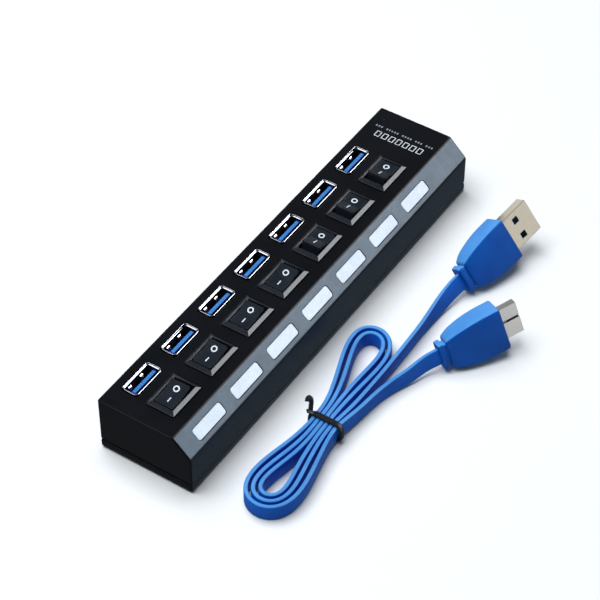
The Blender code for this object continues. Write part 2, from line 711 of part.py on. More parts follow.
def main():
    clear_scene()
    case_plastic = material("case plastic", (0.012, 0.013, 0.016), 0.38)
    bezel_plastic = material("switch plastic", (0.018, 0.018, 0.022), 0.34)
    rocker_plastic = material("rocker plastic", (0.016, 0.018, 0.022), 0.30)
    clear_plastic = material("milky window plastic", (0.78, 0.86, 0.95), 0.25)
    bright_steel = material("bright plated steel", (0.86, 0.87, 0.89), 0.18, 1.0)
    tongue_blue = material("blue contact tongue", (0.03, 0.22, 0.75), 0.35)
    cord_blue = material("blue cord vinyl", (0.01, 0.09, 0.42), 0.42)
    rubber = material("black rubber", (0.02, 0.02, 0.02), 0.85)
    laminate = material("green board laminate", (0.01, 0.10, 0.05), 0.45)
    chip_resin = material("black chip resin", (0.02, 0.02, 0.02), 0.55)
    brass = material("plated brass", (0.75, 0.60, 0.30), 0.25, 1.0)
    make_top_cover(case_plastic)
    make_bottom_cover(case_plastic)
    make_feet_and_screws(rubber, bright_steel)
    make_board(laminate, chip_resin)
    make_lights(clear_plastic, clear_plastic)
    make_ports(bright_steel, tongue_blue)
    make_far_sockets(bright_steel, chip_resin, brass)
    make_switches(bezel_plastic, rocker_plastic)
    make_cable(cord_blue, bright_steel, rubber)


main()
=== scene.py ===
# %% [markdown]
# # A seven-port hub with a switch for every port, and its flat cable
#
# The imported model holds every hard part at its real size, in metres. This lesson gives those parts their
# finishes and rounded edges, and makes what is too soft or too fine for the model: the flat cable, its
# tie, the printed marks and the contacts inside the sockets. Each new piece takes its place from the
# same numbers that the model was built from.

# %% Load the imported model
import math

import bmesh
import bpy
from mathutils import Euler, Matrix, Vector


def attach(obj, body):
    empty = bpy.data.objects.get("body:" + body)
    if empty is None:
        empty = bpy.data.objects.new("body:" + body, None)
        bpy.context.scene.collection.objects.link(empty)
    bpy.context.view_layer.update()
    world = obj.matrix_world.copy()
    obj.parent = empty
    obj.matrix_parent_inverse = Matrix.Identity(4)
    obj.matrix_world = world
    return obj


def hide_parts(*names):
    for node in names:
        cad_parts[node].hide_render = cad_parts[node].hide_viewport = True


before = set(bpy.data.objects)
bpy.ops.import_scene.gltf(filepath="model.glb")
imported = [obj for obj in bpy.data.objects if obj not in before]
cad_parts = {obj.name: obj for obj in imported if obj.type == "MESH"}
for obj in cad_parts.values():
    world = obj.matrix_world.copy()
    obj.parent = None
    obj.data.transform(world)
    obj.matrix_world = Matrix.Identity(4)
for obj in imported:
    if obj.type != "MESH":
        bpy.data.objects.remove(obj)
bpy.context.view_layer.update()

MM = 0.001
print("CAD nodes:", len(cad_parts))

# %% [markdown]
# ## The camera
#
# A product camera stands well back with a long lens, so that the long case hardly tapers. A lens of
# 131 mm from 0.7 m does that. The small shift frames the object without turning the camera, which would
# change how its edges converge.

# %% Camera
LOOK_AT = Vector((0, 0, 10.625 * MM))
CAMERA_AZIMUTH = math.radians(33.55)
CAMERA_ELEVATION = math.radians(45.38)
CAMERA_DISTANCE = 706.7 * MM

forward = Vector(
    (
        math.cos(CAMERA_ELEVATION) * math.cos(CAMERA_AZIMUTH),
        math.cos(CAMERA_ELEVATION) * math.sin(CAMERA_AZIMUTH),
        -math.sin(CAMERA_ELEVATION),
    )
)
lens = bpy.data.cameras.new("camera")
lens.lens = 131.23
lens.sensor_width = 36
lens.shift_x, lens.shift_y = 0.01153, -0.02007
lens.clip_start, lens.clip_end = 0.05, 10
camera = bpy.data.objects.new("camera", lens)
camera.location = LOOK_AT - forward * CAMERA_DISTANCE
camera.rotation_euler = forward.to_track_quat("-Z", "Y").to_euler()
bpy.context.scene.collection.objects.link(camera)
bpy.context.scene.camera = camera
print("camera at", [round(x, 3) for x in camera.location])

# %% [markdown]
# ## The flat cable's route
#
# The cable is one flat cord with a plug on each end. It stands on its edge, runs back and forth through
# a tie, and folds into two drop-shaped loops: three layers at the near end and two at the far end. A drop
# is easy to write as a formula: how far it reaches, how far apart its ends are at the tie, and how much it
# bulges. Nesting each layer in the next keeps the runs side by side, so that none passes through another.

# %% The layers of the two loops
TIE = (-39 * MM, -38 * MM)
LANE_PITCH = 1.6 * MM
NEAR_LAYERS = [
    {"reach": 38.0 * MM, "hold": 4.0 * MM, "spread": 19.9 * MM, "shape": 3.5},
    {"reach": 35.7 * MM, "hold": 2.4 * MM, "spread": 17.3 * MM, "shape": 4.5},
    {"reach": 33.4 * MM, "hold": 0.8 * MM, "spread": 13.9 * MM, "shape": 6.0},
]
FAR_LAYERS = [
    {"reach": 43.0 * MM, "hold": 2.4 * MM, "spread": 20.9 * MM, "shape": 4.3},
    {"reach": 40.7 * MM, "hold": 0.8 * MM, "spread": 17.2 * MM, "shape": 5.7},
]
FAR_LEAN, FAR_EASE = 0.163, 8 * MM
LOOP_STEPS = 40
RIBBON_HEIGHT = 3.0 * MM


def loop(layer, side, forwards=True):
    """Points of one layer, from its end at +hold to its end at -hold, or the other way."""
    points = []
    for step in range(1, LOOP_STEPS):
        turn = math.pi * step / LOOP_STEPS
        out, across = math.sin(turn), math.cos(turn)
        away = layer["reach"] * out**2
        aside = layer["hold"] * across + layer["spread"] * out ** layer["shape"] * across
        if side > 0:
            aside += LANE_PITCH + FAR_LEAN * away**2 / (away + FAR_EASE)
        points.append(Vector((TIE[0] + side * away, TIE[1] + aside, RIBBON_HEIGHT)))
    return points if forwards else points[::-1]


def smooth_route(points, spacing):
    """Evenly spaced points on a smooth curve through a list of points."""
    ends = [2 * points[0] - points[1], *points, 2 * points[-1] - points[-2]]
    dense = []
    for a, b, c, d in zip(ends, ends[1:], ends[2:], ends[3:]):
        for part in range(12):
            t = part / 12
            cubic = 3 * b - a - 3 * c + d
            dense.append(0.5 * (2 * b + (c - a) * t + (2 * a - 5 * b + 4 * c - d) * t**2 + cubic * t**3))
    dense.append(points[-1])
    lengths = [0.0]
    for before, after in zip(dense, dense[1:]):
        lengths.append(lengths[-1] + (after - before).length)
    count = max(2, round(lengths[-1] / spacing))
    even, index = [], 0
    for i in range(count + 1):
        wanted = lengths[-1] * i / count
        while index < len(dense) - 2 and lengths[index + 1] < wanted:
            index += 1
        span = lengths[index + 1] - lengths[index]
        even.append(dense[index].lerp(dense[index + 1], (wanted - lengths[index]) / span))
    return even


print("loop layers:", len(NEAR_LAYERS), "near and", len(FAR_LAYERS), "far")

# %% [markdown]
# Each plug lies on its collar and on its widest part, with its broad face leaning over, because the stiff
# cord twists it. The roll says how far. The pitch and the height follow from the plug's own outline, so
# that it touches the table and doesn't sink into it. The cord has to meet the plug straight, so the plugs'
# places come before the cord's.

# %% Where each plug lies
PLUG_RINGS = [  # distance from the cord end, half width, half thickness, corner radius, in mm
    (0.0, 4.7, 2.1, 0.9),
    (0.3, 4.9, 2.3, 0.9),
    (1.8, 4.9, 2.3, 0.9),
    (1.8, 4.2, 1.8, 0.8),
    (2.8, 4.2, 1.8, 0.8),
    (2.8, 5.4, 2.6, 0.8),
    (6.0, 6.5, 3.3, 0.8),
    (11.0, 7.4, 3.8, 0.8),
    (16.0, 7.8, 4.0, 0.8),
    (21.9, 7.8, 4.0, 0.8),
    (22.4, 7.4, 3.6, 0.6),
]
COLLAR_RING, WIDEST_RING = 1, 8
LARGE_ROLL, SMALL_ROLL = 58, 72  # degrees


def plug_place(rear_x, rear_y, yaw, roll):
    """The plug's own frame: x to its tip, y across its broad face, z out of that face."""
    roll = math.radians(roll)
    reach = []
    for x, a, b, r in PLUG_RINGS:
        reach.append((x * MM, ((a - r) * math.sin(roll) + (b - r) * math.cos(roll) + r) * MM))
    (rear, rear_height), (front, front_height) = reach[COLLAR_RING], reach[WIDEST_RING]
    pitch = math.atan2(front_height - rear_height, front - rear)
    height = max(down * math.cos(pitch) - x * math.sin(pitch) for x, down in reach)
    turn = Euler((roll, -pitch, math.radians(yaw))).to_matrix().to_4x4()
    return Matrix.Translation((rear_x * MM, rear_y * MM, height)) @ turn


large_plug = plug_place(37.5, -41.4, yaw=-10, roll=LARGE_ROLL)
small_plug = plug_place(4.5, -52.6, yaw=-30, roll=SMALL_ROLL)
for name, place in (("large", large_plug), ("small", small_plug)):
    print(name, "plug's cord end in mm:", [round(x / MM, 1) for x in place.translation])

# %% [markdown]
# The whole route starts in the small plug, enters the tie in the sixth lane, and comes out of the fifth
# lane to the large plug. The cord's broad side is upright in the hank. Along each tail it leans over
# little by little, until it matches the plug.

# %% The whole route
RIBBON_WIDTH, RIBBON_THICK = 6.0 * MM, 1.4 * MM
LARGE_TAIL = [
    (-39, -40.4, 3.0), (-33, -40.8, 3.0), (-25, -41.1, 3.0), (-12, -41.2, 3.0), (-1, -41.0, 3.0),
    (8, -40.7, 3.0), (18, -40.4, 3.1), (27, -40.2, 3.6),
]
SMALL_TAIL = [
    (-39, -42.0, 3.0), (-34, -42.6, 3.0), (-28, -43.3, 3.0), (-22, -43.9, 3.0), (-17.2, -44.65, 3.0),
    (-12, -46.0, 3.1), (-6.5, -48.0, 3.6),
]


def tail(route, place):
    """A tail's points, from the tie to where it enters its plug."""
    axis = place.to_3x3() @ Vector((1, 0, 0))
    points = [Vector(point) * MM for point in route]
    return points + [place.translation - 5 * MM * axis, place.translation + 0.3 * MM * axis]


def lane(number):
    return Vector((TIE[0], TIE[1] + (3.5 - number) * LANE_PITCH, RIBBON_HEIGHT))


small_tail, large_tail = tail(SMALL_TAIL, small_plug), tail(LARGE_TAIL, large_plug)
rough = small_tail[::-1]
rough += loop(NEAR_LAYERS[0], -1, forwards=False) + [lane(1)]
rough += loop(FAR_LAYERS[0], 1) + [lane(4)]
rough += loop(NEAR_LAYERS[2], -1, forwards=False) + [lane(3)]
rough += loop(FAR_LAYERS[1], 1, forwards=False) + [lane(2)]
rough += loop(NEAR_LAYERS[1], -1) + large_tail
route = smooth_route(rough, 1.2 * MM)
for point in route:  # the runs ride up over the band of the tie, which passes under them
    point.z += 1.0 * MM * math.exp(-(((point.x - TIE[0]) / (8 * MM)) ** 2))

# %% [markdown]
# ## Light
#
# The case is nearly black, so its shape shows by what it reflects, and what it reflects has to be chosen.
# A broad overhead light gives the diffuse light and stays out of reflections. The cards do the reverse:
# each only shows as a reflection. The window side card mirrors in the slanted face and in one slope of each
# switch, the end card in the rims of the ports, and the low card and the back card in the plugs' shells.
# The floor doesn't show in reflections either, so a dim blue card under it mirrors in the long side.

# %% Lights, sky and floor


def soft_box(name, direction, distance, size, watts, seen, tint=(0.93, 0.97, 1.0)):
    """An area light aimed at the hub. It is seen either by matt surfaces or by glossy ones."""
    data = bpy.data.lights.new(name, "AREA")
    data.shape = "RECTANGLE"
    data.size, data.size_y = size
    data.energy = watts
    data.color = tint
    made = bpy.data.objects.new(name, data)
    towards = Vector(direction).normalized()
    made.location = towards * distance
    made.rotation_euler = towards.to_track_quat("Z", "Y").to_euler()
    made.visible_diffuse, made.visible_glossy = seen == "matt", seen == "glossy"
    bpy.context.scene.collection.objects.link(made)


soft_box("overhead light", (-0.05, 0.28, 1.0), 1.2, (1.1, 1.1), 31, "matt")
soft_box("window side card", (0.585, -0.61, 0.52), 1.1, (0.62, 0.76), 8.4, "glossy")
soft_box("end card", (-0.80, 0.388, 0.42), 1.3, (0.60, 0.60), 2.2, "glossy")
soft_box("low card", (0.10, -1.0, 0.0), 0.9, (0.90, 0.56), 1.3, "glossy")
soft_box("back card", (0.68, 0.72, 0.05), 0.9, (0.70, 0.45), 1.0, "glossy")
soft_box("floor card", (0.585, -0.388, -0.712), 1.3, (1.0, 1.0), 0.55, "glossy", tint=(0.35, 0.66, 1.0))
sky = bpy.data.worlds.new("sky")
sky.use_nodes = True
sky.node_tree.nodes["Background"].inputs["Color"].default_value = (0.78, 0.88, 1.0, 1)
sky.node_tree.nodes["Background"].inputs["Strength"].default_value = 0.15
bpy.context.scene.world = sky
bpy.context.scene.view_settings.view_transform = "Standard"

floor_mesh = bpy.data.meshes.new("floor")
floor_mesh.from_pydata([(-6, -6, 0), (6, -6, 0), (6, 6, 0), (-6, 6, 0)], [], [(0, 1, 2, 3)])
floor = bpy.data.objects.new("floor", floor_mesh)
floor.location.z = -0.02 * MM
floor.visible_glossy = False
bpy.context.scene.collection.objects.link(floor)

# %% [markdown]
# ## Finishes
#
# A finish starts from what the part is made of. One function turns a colour from its hex value, another
# adds a shader node with its settings and links. Every pattern's scale is a size in millimetres.

# %% Helpers for finishes


def colour(hex_value):
    """An sRGB hex colour as the linear values that a shader needs."""
    channels = [int(hex_value[i : i + 2], 16) / 255 for i in (1, 3, 5)]
    return [c / 12.92 if c <= 0.04045 else ((c + 0.055) / 1.055) ** 2.4 for c in channels] + [1.0]


def add_node(tree, kind, settings=None, values=None, links=None):
    """One node: settings are its properties, values fill its sockets, links bring in (node, output)."""
    node = tree.nodes.new(kind)
    for name, value in (settings or {}).items():
        setattr(node, name, value)
    for socket, value in (values or {}).items():
        node.inputs[socket].default_value = value
    for socket, (source, output) in (links or {}).items():
        tree.links.new(source.outputs[output], node.inputs[socket])
    return node


def new_material(name, **values):
    """A material with these uniform values, its node tree, its shader and its object coordinates."""
    made = bpy.data.materials.new(name)
    made.use_nodes = True
    tree = made.node_tree
    shader = tree.nodes["Principled BSDF"]
    for socket, value in values.items():
        shader.inputs[socket.replace("_", " ")].default_value = value
    place = add_node(tree, "ShaderNodeTexCoord")
    return made, tree, shader, place


def moulded(name, dark, light, cloud_mm, grain_mm, relief_mm, rough, **values):
    """A moulded or coated surface: two close tones in soft clouds, and a grain in its gloss and relief."""
    made, tree, shader, place = new_material(name, **values)
    cloud = add_node(
        tree,
        "ShaderNodeTexNoise",
        None,
        {"Scale": 1 / (cloud_mm * MM), "Detail": 3.0},
        {"Vector": (place, "Object")},
    )
    tones = add_node(tree, "ShaderNodeValToRGB", None, None, {"Fac": (cloud, "Fac")})
    tones.color_ramp.elements[0].position, tones.color_ramp.elements[1].position = 0.35, 0.65
    tones.color_ramp.elements[0].color, tones.color_ramp.elements[1].color = colour(dark), colour(light)
    grain = add_node(
        tree,
        "ShaderNodeTexNoise",
        None,
        {"Scale": 1 / (grain_mm * MM), "Detail": 2.0},
        {"Vector": (place, "Object")},
    )
    gloss = add_node(
        tree,
        "ShaderNodeMapRange",
        None,
        {"From Min": 0.3, "From Max": 0.7, "To Min": rough[0], "To Max": rough[1]},
        {"Value": (grain, "Fac")},
    )
    relief = add_node(
        tree,
        "ShaderNodeBump",
        None,
        {"Strength": 1.0, "Distance": relief_mm * MM},
        {"Height": (grain, "Fac")},
    )
    tree.links.new(tones.outputs["Color"], shader.inputs["Base Color"])
    tree.links.new(gloss.outputs["Result"], shader.inputs["Roughness"])
    tree.links.new(relief.outputs["Normal"], shader.inputs["Normal"])
    return made


print("finish helpers ready")

# %% [markdown]
# The case is ABS, moulded in a tool with a fine spark-eroded texture. The texture breaks a reflection into
# a soft sheen. The slanted face is the same black ABS, painted a lighter grey-blue: a painted sheen for the
# soft box's reflection. Real texture is about 0.1 mm; it is drawn at 0.5 mm, so that it shows. The switches
# are moulded in a smoother tool and look wetter.

# %% Plastics
case_abs = moulded(
    "textured black ABS", "#06070a", "#0a0b0f", 16, 0.5, 0.012, (0.30, 0.40),
    IOR=1.53, Specular_IOR_Level=0.25,
)
# painted sheen: the slanted face's grey-blue stands in for the soft box's reflection in the black case
sheen_painted_abs = moulded(
    "spark-eroded black ABS, painted grey-blue sheen", "#2c3f4f", "#384c5d", 6, 0.6, 0.02, (0.34, 0.46), IOR=1.53
)
switch_abs = moulded(
    "smooth black ABS", "#0e1016", "#14171e", 9, 0.9, 0.001, (0.28, 0.32),
    IOR=1.53, Specular_IOR_Level=0.8,
)
rocker_abs = moulded(
    "polished dark ABS", "#11151b", "#171c23", 8, 0.8, 0.003, (0.22, 0.30),
    IOR=1.53, Specular_IOR_Level=0.35,
)
socket_nylon = moulded("black glass-filled nylon", "#0a0a0b", "#121214", 4, 0.3, 0.010, (0.45, 0.60))
resin = moulded("black chip resin", "#151515", "#1d1d1e", 5, 0.25, 0.010, (0.50, 0.65))
tongue_pbt = moulded(
    "blue PBT", "#2f6ba2", "#3873aa", 6, 0.4, 0.004, (0.30, 0.40), Specular_IOR_Level=0.3
)
# painted shade: a darker copy of the blue PBT for a tongue's sides
shade_painted_pbt = moulded(
    "blue PBT darkened as painted shade", "#0b2c78", "#0f3486", 6, 0.4, 0.004, (0.30, 0.40), Specular_IOR_Level=0.3
)
foot_rubber = moulded("black silicone rubber", "#111112", "#19191a", 10, 0.5, 0.015, (0.75, 0.90))
floor_paint = moulded("matt grey paper sweep", "#cdcdcd", "#d1d1d1", 900, 30, 0.0, (0.85, 0.95))
floor.data.materials.append(floor_paint)
print("plastics:", [m.name for m in (case_abs, sheen_painted_abs, switch_abs, rocker_abs, tongue_pbt, shade_painted_pbt)])

# %% [markdown]
# A tongue is moulded with shallow ribs between its contacts. The ribs have no relief here: a wave along the
# case's length paints shade into the blue between them. The wave texture repeats every tau / 20 of its
# scaled length, so its scale is worked out from the ribs' real pitch.

# %% Ribs in the tongue's blue
RIB_PITCH = 1.25 * MM
blue = tongue_pbt.node_tree
ribs = add_node(
    blue,
    "ShaderNodeTexWave",
    {"bands_direction": "X"},
    {"Scale": math.tau / (20 * RIB_PITCH)},
    {"Vector": (blue.nodes["Texture Coordinate"], "Object")},
)
# painted shade in the grooves between the ribs, which have no relief
groove_shade = add_node(blue, "ShaderNodeMapRange", None, {"To Min": 0.4, "To Max": 0.0}, {"Value": (ribs, "Fac")})
groove_shaded_blue = add_node(
    blue,
    "ShaderNodeMix",
    {"data_type": "RGBA"},
    {7: colour("#12458f")},  # sockets 6 and 7 are this node's two colours, and output 2 is its colour
    {0: (groove_shade, "Result"), 6: (blue.nodes["Color Ramp"], "Color")},
)
blue.links.new(groove_shaded_blue.outputs[2], blue.nodes["Principled BSDF"].inputs["Base Color"])
print("rib pitch in mm:", RIB_PITCH / MM)

# %% [markdown]
# The windows are milky polycarbonate: white with a breath of blue, and a little light passes inside. Light
# of every colour goes equally deep, or the edges would glow red. The lens of each lamp is clear resin.

# %% Windows
window_pc = moulded(
    "milky polycarbonate", "#c2cddb", "#ccd7e4", 5, 0.6, 0.004, (0.24, 0.34),
    IOR=1.58, Subsurface_Weight=0.25,
)
window_shader = window_pc.node_tree.nodes["Principled BSDF"]
window_shader.inputs["Subsurface Scale"].default_value = 1.5 * MM
window_shader.inputs["Subsurface Radius"].default_value = (1.0, 1.0, 1.0)
smoked_pc = moulded("smoked polycarbonate", "#15161a", "#1c1d22", 2, 0.3, 0.0, (0.15, 0.25), IOR=1.58)
led_resin = moulded("clear lamp resin", "#dfe6ea", "#f2f5f6", 2, 0.3, 0.0, (0.15, 0.20), IOR=1.53)
print("window finish:", window_pc.name)

# %% [markdown]
# The cord is PVC, drawn hot through a flat die, so its broad sides carry faint lines along their length.
# The plug's grip is a softer PVC, moulded over it in the same blue. Both have a satin skin.

# %% PVC
cord_pvc = moulded(
    "extruded blue PVC", "#0850ae", "#0c59ba", 12, 0.6, 0.004, (0.34, 0.44),
    IOR=1.53, Specular_IOR_Level=0.1,
)
grip_pvc = moulded(
    "moulded blue PVC", "#06489c", "#0a50a8", 9, 0.5, 0.006, (0.36, 0.46),
    IOR=1.53, Specular_IOR_Level=0.1,
)
# painted highlight: a lighter, glossier blue for the narrow sides of cord and grip, where light catches them
highlight_painted_pvc = moulded(
    "blue PVC with painted edge highlight", "#3a76b4", "#4682be", 12, 0.6, 0.004, (0.34, 0.44),
    IOR=1.53, Specular_IOR_Level=0.35,
)
tie_pvc = moulded("black PVC over wire", "#0d0e10", "#16181b", 5, 0.5, 0.010, (0.35, 0.50))
print("cord finish:", cord_pvc.name)

# %% [markdown]
# The shells are folded from nickel-plated steel. Rolling leaves fine parallel streaks under the plate,
# which a stretched noise draws. The contacts are copper alloy with a thin gold flash.

# %% Metals


def plated(name, dark, light, rough, stretch):
    """Plated sheet metal, streaked along one axis: stretch scales the pattern along x, y and z."""
    made, tree, shader, place = new_material(name, Metallic=1.0)
    turn = add_node(tree, "ShaderNodeMapping", None, {"Scale": stretch}, {"Vector": (place, "Object")})
    streak = add_node(
        tree,
        "ShaderNodeTexNoise",
        None,
        {"Scale": 1 / (0.5 * MM), "Detail": 4.0},
        {"Vector": (turn, "Vector")},
    )
    tones = add_node(tree, "ShaderNodeValToRGB", None, None, {"Fac": (streak, "Fac")})
    tones.color_ramp.elements[0].position, tones.color_ramp.elements[1].position = 0.3, 0.7
    tones.color_ramp.elements[0].color, tones.color_ramp.elements[1].color = colour(dark), colour(light)
    gloss = add_node(
        tree,
        "ShaderNodeMapRange",
        None,
        {"To Min": rough[0], "To Max": rough[1]},
        {"Value": (streak, "Fac")},
    )
    tree.links.new(tones.outputs["Color"], shader.inputs["Base Color"])
    tree.links.new(gloss.outputs["Result"], shader.inputs["Roughness"])
    return made


port_nickel = plated("nickel-plated port steel", "#e4e4e8", "#fbfbff", (0.12, 0.24), (1, 1, 0.1))
plug_nickel = plated("nickel-plated plug steel", "#cabeab", "#d3c7b3", (0.27, 0.31), (0.1, 1, 1))
small_nickel = plated("bright nickel-plated plug steel", "#dcd8d0", "#e6e2da", (0.27, 0.31), (0.1, 1, 1))
screw_zinc = plated("zinc-plated steel", "#9c9da0", "#b6b7ba", (0.25, 0.40), (1, 1, 0.2))
gold = plated("gold-flashed contact", "#c99a3c", "#e6bf63", (0.15, 0.30), (1, 1, 0.3))
print("metals:", port_nickel.name, plug_nickel.name, small_nickel.name, screw_zinc.name, gold.name)

# %% [markdown]
# The board is glass-epoxy under green solder mask. It is closed inside the case and only shows when the
# case is opened. The marks are pad-printed in off-white and grey ink, which is slightly raised.

# %% Board and ink
solder_mask = moulded("green solder mask", "#0b3a22", "#114a2c", 7, 0.5, 0.01, (0.30, 0.45))
switch_ink = moulded("off-white pad-printing ink", "#b6babf", "#c6cacf", 3, 0.25, 0.003, (0.45, 0.60))
grey_ink = moulded("grey pad-printing ink", "#6e7278", "#7e8288", 3, 0.25, 0.003, (0.45, 0.60))
print("materials:", len(bpy.data.materials))

# %% [markdown]
# ## Round the hard edges
#
# A moulded part has no knife edges: each catches a thin line of light. The imported mesh is loose triangles,
# so each part gets a copy with its triangles merged, its flat faces joined, and a small bevel on its sharp
# edges. The copy then stands for the imported one. The slanted face gets a grey-blue colour, a painted
# sheen.

# %% A copy with rounded edges


def finished_piece(name, mesh, material, slot, body, *nodes):
    """An object at the origin that rides on a body and may stand for CAD nodes."""
    made = bpy.data.objects.new(name, mesh)
    bpy.context.scene.collection.objects.link(made)
    mesh.materials.clear()
    mesh.materials.append(material)
    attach(made, body)
    if nodes:
        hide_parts(*nodes)
    return made


def plain_mesh(obj, name):
    """What an object's modifiers make, as a mesh of its own; the object is removed."""
    bpy.context.view_layer.update()
    mesh = bpy.data.meshes.new_from_object(obj.evaluated_get(bpy.context.evaluated_depsgraph_get()))
    mesh.name = name
    bpy.data.objects.remove(obj)
    return mesh


def rounded_copy(node, width_mm, material, slot, sharp=28, body="hub", crease=None):
    """Edges turning more than sharp degrees are bevelled; those between crease and sharp stay crisp."""
    shape = bmesh.new()
    shape.from_mesh(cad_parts[node].data)
    bmesh.ops.remove_doubles(shape, verts=shape.verts, dist=0.001 * MM)
    bmesh.ops.dissolve_limit(
        shape, angle_limit=math.radians(0.5), verts=shape.verts, edges=shape.edges, delimit={"NORMAL"}
    )
    turns = [math.degrees(edge.calc_face_angle(0)) for edge in shape.edges]
    mesh = bpy.data.meshes.new(node)
    shape.to_mesh(mesh)
    shape.free()
    mesh.shade_smooth()
    if crease:
        for edge, turn in zip(mesh.edges, turns):
            edge.use_edge_sharp = crease < turn <= sharp
    for layer in ("custom_normal", "UVMap"):
        if layer in mesh.attributes:
            mesh.attributes.remove(mesh.attributes[layer])
    rough_copy = bpy.data.objects.new(node + "_rough", mesh)
    bpy.context.scene.collection.objects.link(rough_copy)
    bevel = rough_copy.modifiers.new("rounded edges", "BEVEL")
    bevel.width = width_mm * MM
    bevel.segments = 2
    bevel.limit_method = "ANGLE"
    bevel.angle_limit = math.radians(sharp)
    bevel.use_clamp_overlap = False
    level = rough_copy.modifiers.new("flat faces stay flat", "WEIGHTED_NORMAL")
    level.weight = 80
    level.keep_sharp = True
    made = plain_mesh(rough_copy, node + "_finished")
    return finished_piece(node + "_finished", made, material, slot, body, node)


top = rounded_copy("top_cover", 0.20, case_abs, "case_plastic")
# the faces of the slanted face get the painted grey-blue sheen
top.data.materials.append(sheen_painted_abs)
SLOPE = Vector((0, -6.4, 6.7)).normalized()
PANEL_OUT, PANEL_BOTTOM = 20.4 * MM, 15 * MM  # the slanted face lies further out and higher than these
for face in top.data.polygons:
    outside = face.center.z > PANEL_BOTTOM and face.center.dot(SLOPE) > PANEL_OUT
    if outside and face.normal.dot(SLOPE) > 0.995:
        face.material_index = 1
print("slanted faces:", sum(face.material_index for face in top.data.polygons))
rounded_copy("bottom_cover", 0.06, case_abs, "case_plastic")
print("case copies made")

# %% [markdown]
# The same function finishes every other hard part. Only the width of the bevel, the finish and the body
# change. Each rocker rides on its own body, so that it still tips.
#
# A tongue is light blue on its end, and every other side is painted darker as shade. The light bar's seven
# pads stand back from the slanted face and clear of their openings in the model, so each is brought forwards
# and outwards.

# %% Ports, switches, plugs and sockets
STATIONS = range(1, 8)
FIRST_STATION, STATION_PITCH = -66.8 * MM, 19.8 * MM
for i in STATIONS:
    rounded_copy(f"port_shell_{i}", 0.16, port_nickel, "port_steel")
    tongue = rounded_copy(f"port_tongue_{i}", 0.38, tongue_pbt, "tongue_blue")
    tongue.data.materials.append(shade_painted_pbt)
    for face in tongue.data.polygons:
        # painted shade: faces that don't point up get the darker blue
        face.material_index = int(face.normal.z < 0.95)
    rounded_copy(f"switch_housing_{i}", 0.12, switch_abs, "switch_plastic")
    rounded_copy(f"rocker_{i}", 0.08, rocker_abs, "rocker_plastic", sharp=50, body=f"rocker_{i}", crease=10)
rounded_copy("large_plug_shell", 0.04, plug_nickel, "plug_steel")
rounded_copy("small_plug_shell", 0.08, small_nickel, "plug_steel")
rounded_copy("upstream_shell", 0.08, port_nickel, "port_steel")
rounded_copy("upstream_tongue", 0.08, socket_nylon, "socket_black")
rounded_copy("power_jack", 0.15, socket_nylon, "socket_black", sharp=40)
windows = rounded_copy("light_bar", 0.12, window_pc, "window_plastic")
WINDOW_FORWARD, WINDOW_FILL = 0.62 * MM, 0.24 * MM
PAD_FRONT = 21.9 * MM  # the front of a pad lies further out than this along the slope's normal
UP_SLOPE = SLOPE.cross(Vector((1, 0, 0)))  # up the slanted face
fronts = [vert for vert in windows.data.vertices if vert.co.dot(SLOPE) > PAD_FRONT]
heights = [vert.co.dot(UP_SLOPE) for vert in fronts]
middle = (min(heights) + max(heights)) / 2
for vert in fronts:
    station = FIRST_STATION + round((vert.co.x - FIRST_STATION) / STATION_PITCH) * STATION_PITCH
    aside = math.copysign(WINDOW_FILL, vert.co.x - station)
    upwards = math.copysign(WINDOW_FILL, vert.co.dot(UP_SLOPE) - middle)
    vert.co += WINDOW_FORWARD * SLOPE + Vector((aside, 0, 0)) + upwards * UP_SLOPE

# %% [markdown]
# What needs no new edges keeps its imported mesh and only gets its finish.

# %% Finishes for the parts that stay
STAYING = {
    "foot_strip_window_side": foot_rubber,
    "foot_strip_port_side": foot_rubber,
    "main_board": solder_mask,
    "hub_controller_a": resin,
    "hub_controller_b": resin,
    "power_lens": smoked_pc,
    "power_jack_pin": gold,
    **{f"case_screw_{i}": screw_zinc for i in range(1, 5)},
    **{f"led_{i}": led_resin for i in STATIONS},
}
for node, material in STAYING.items():
    for material_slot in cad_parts[node].material_slots:
        material_slot.material = material
print("parts that stay:", len(STAYING))

# %% [markdown]
# ## Tubes, rings and lofts
#
# A cord, a grip and a tie are all lofts: rings of points joined one to the next. One function joins the
# rings and closes the ends, and one makes a ring with rounded corners.

# %% Loft helpers


def loft(name, rings, closed=False):
    """A mesh through rings of equally many points. An open one is capped, a closed one joins its ends."""
    shape = bmesh.new()
    loops = [[shape.verts.new(point) for point in ring] for ring in rings]
    pairs = list(zip(loops, loops[1:]))
    if closed:
        pairs.append((loops[-1], loops[0]))
    else:
        shape.faces.new(loops[0][::-1])
        shape.faces.new(loops[-1])
    for lower, upper in pairs:
        for i in range(len(lower)):
            shape.faces.new((lower[i - 1], lower[i], upper[i], upper[i - 1]))
    bmesh.ops.recalc_face_normals(shape, faces=shape.faces)
    mesh = bpy.data.meshes.new(name)
    shape.to_mesh(mesh)
    shape.free()
    return mesh


def rounded_ring(half_a, half_b, radius, steps=4):
    """(a, b) points of a rectangle with rounded corners, anticlockwise."""
    points = []
    for quarter, (sign_a, sign_b) in enumerate(((1, 1), (-1, 1), (-1, -1), (1, -1))):
        for step in range(steps + 1):
            turn = math.radians(90) * (quarter + step / steps)
            a = sign_a * (half_a - radius) + radius * math.cos(turn)
            points.append((a, sign_b * (half_b - radius) + radius * math.sin(turn)))
    return points


def smooth_shade(mesh, sharp=40):
    mesh.shade_smooth()
    mesh.set_sharp_from_angle(angle=math.radians(sharp))


print("loft helpers ready")

# %% [markdown]
# ## The flat cable
#
# The cord is a rectangle with rounded corners, swept along the route. A sweep needs to know which way is
# up at every point, or the tape twists by itself. Here its broad side is upright through the hank and
# turns over to each plug's own roll along the tails. The narrow sides are painted a lighter, glossier blue:
# a painted highlight along the edges that catch the light.

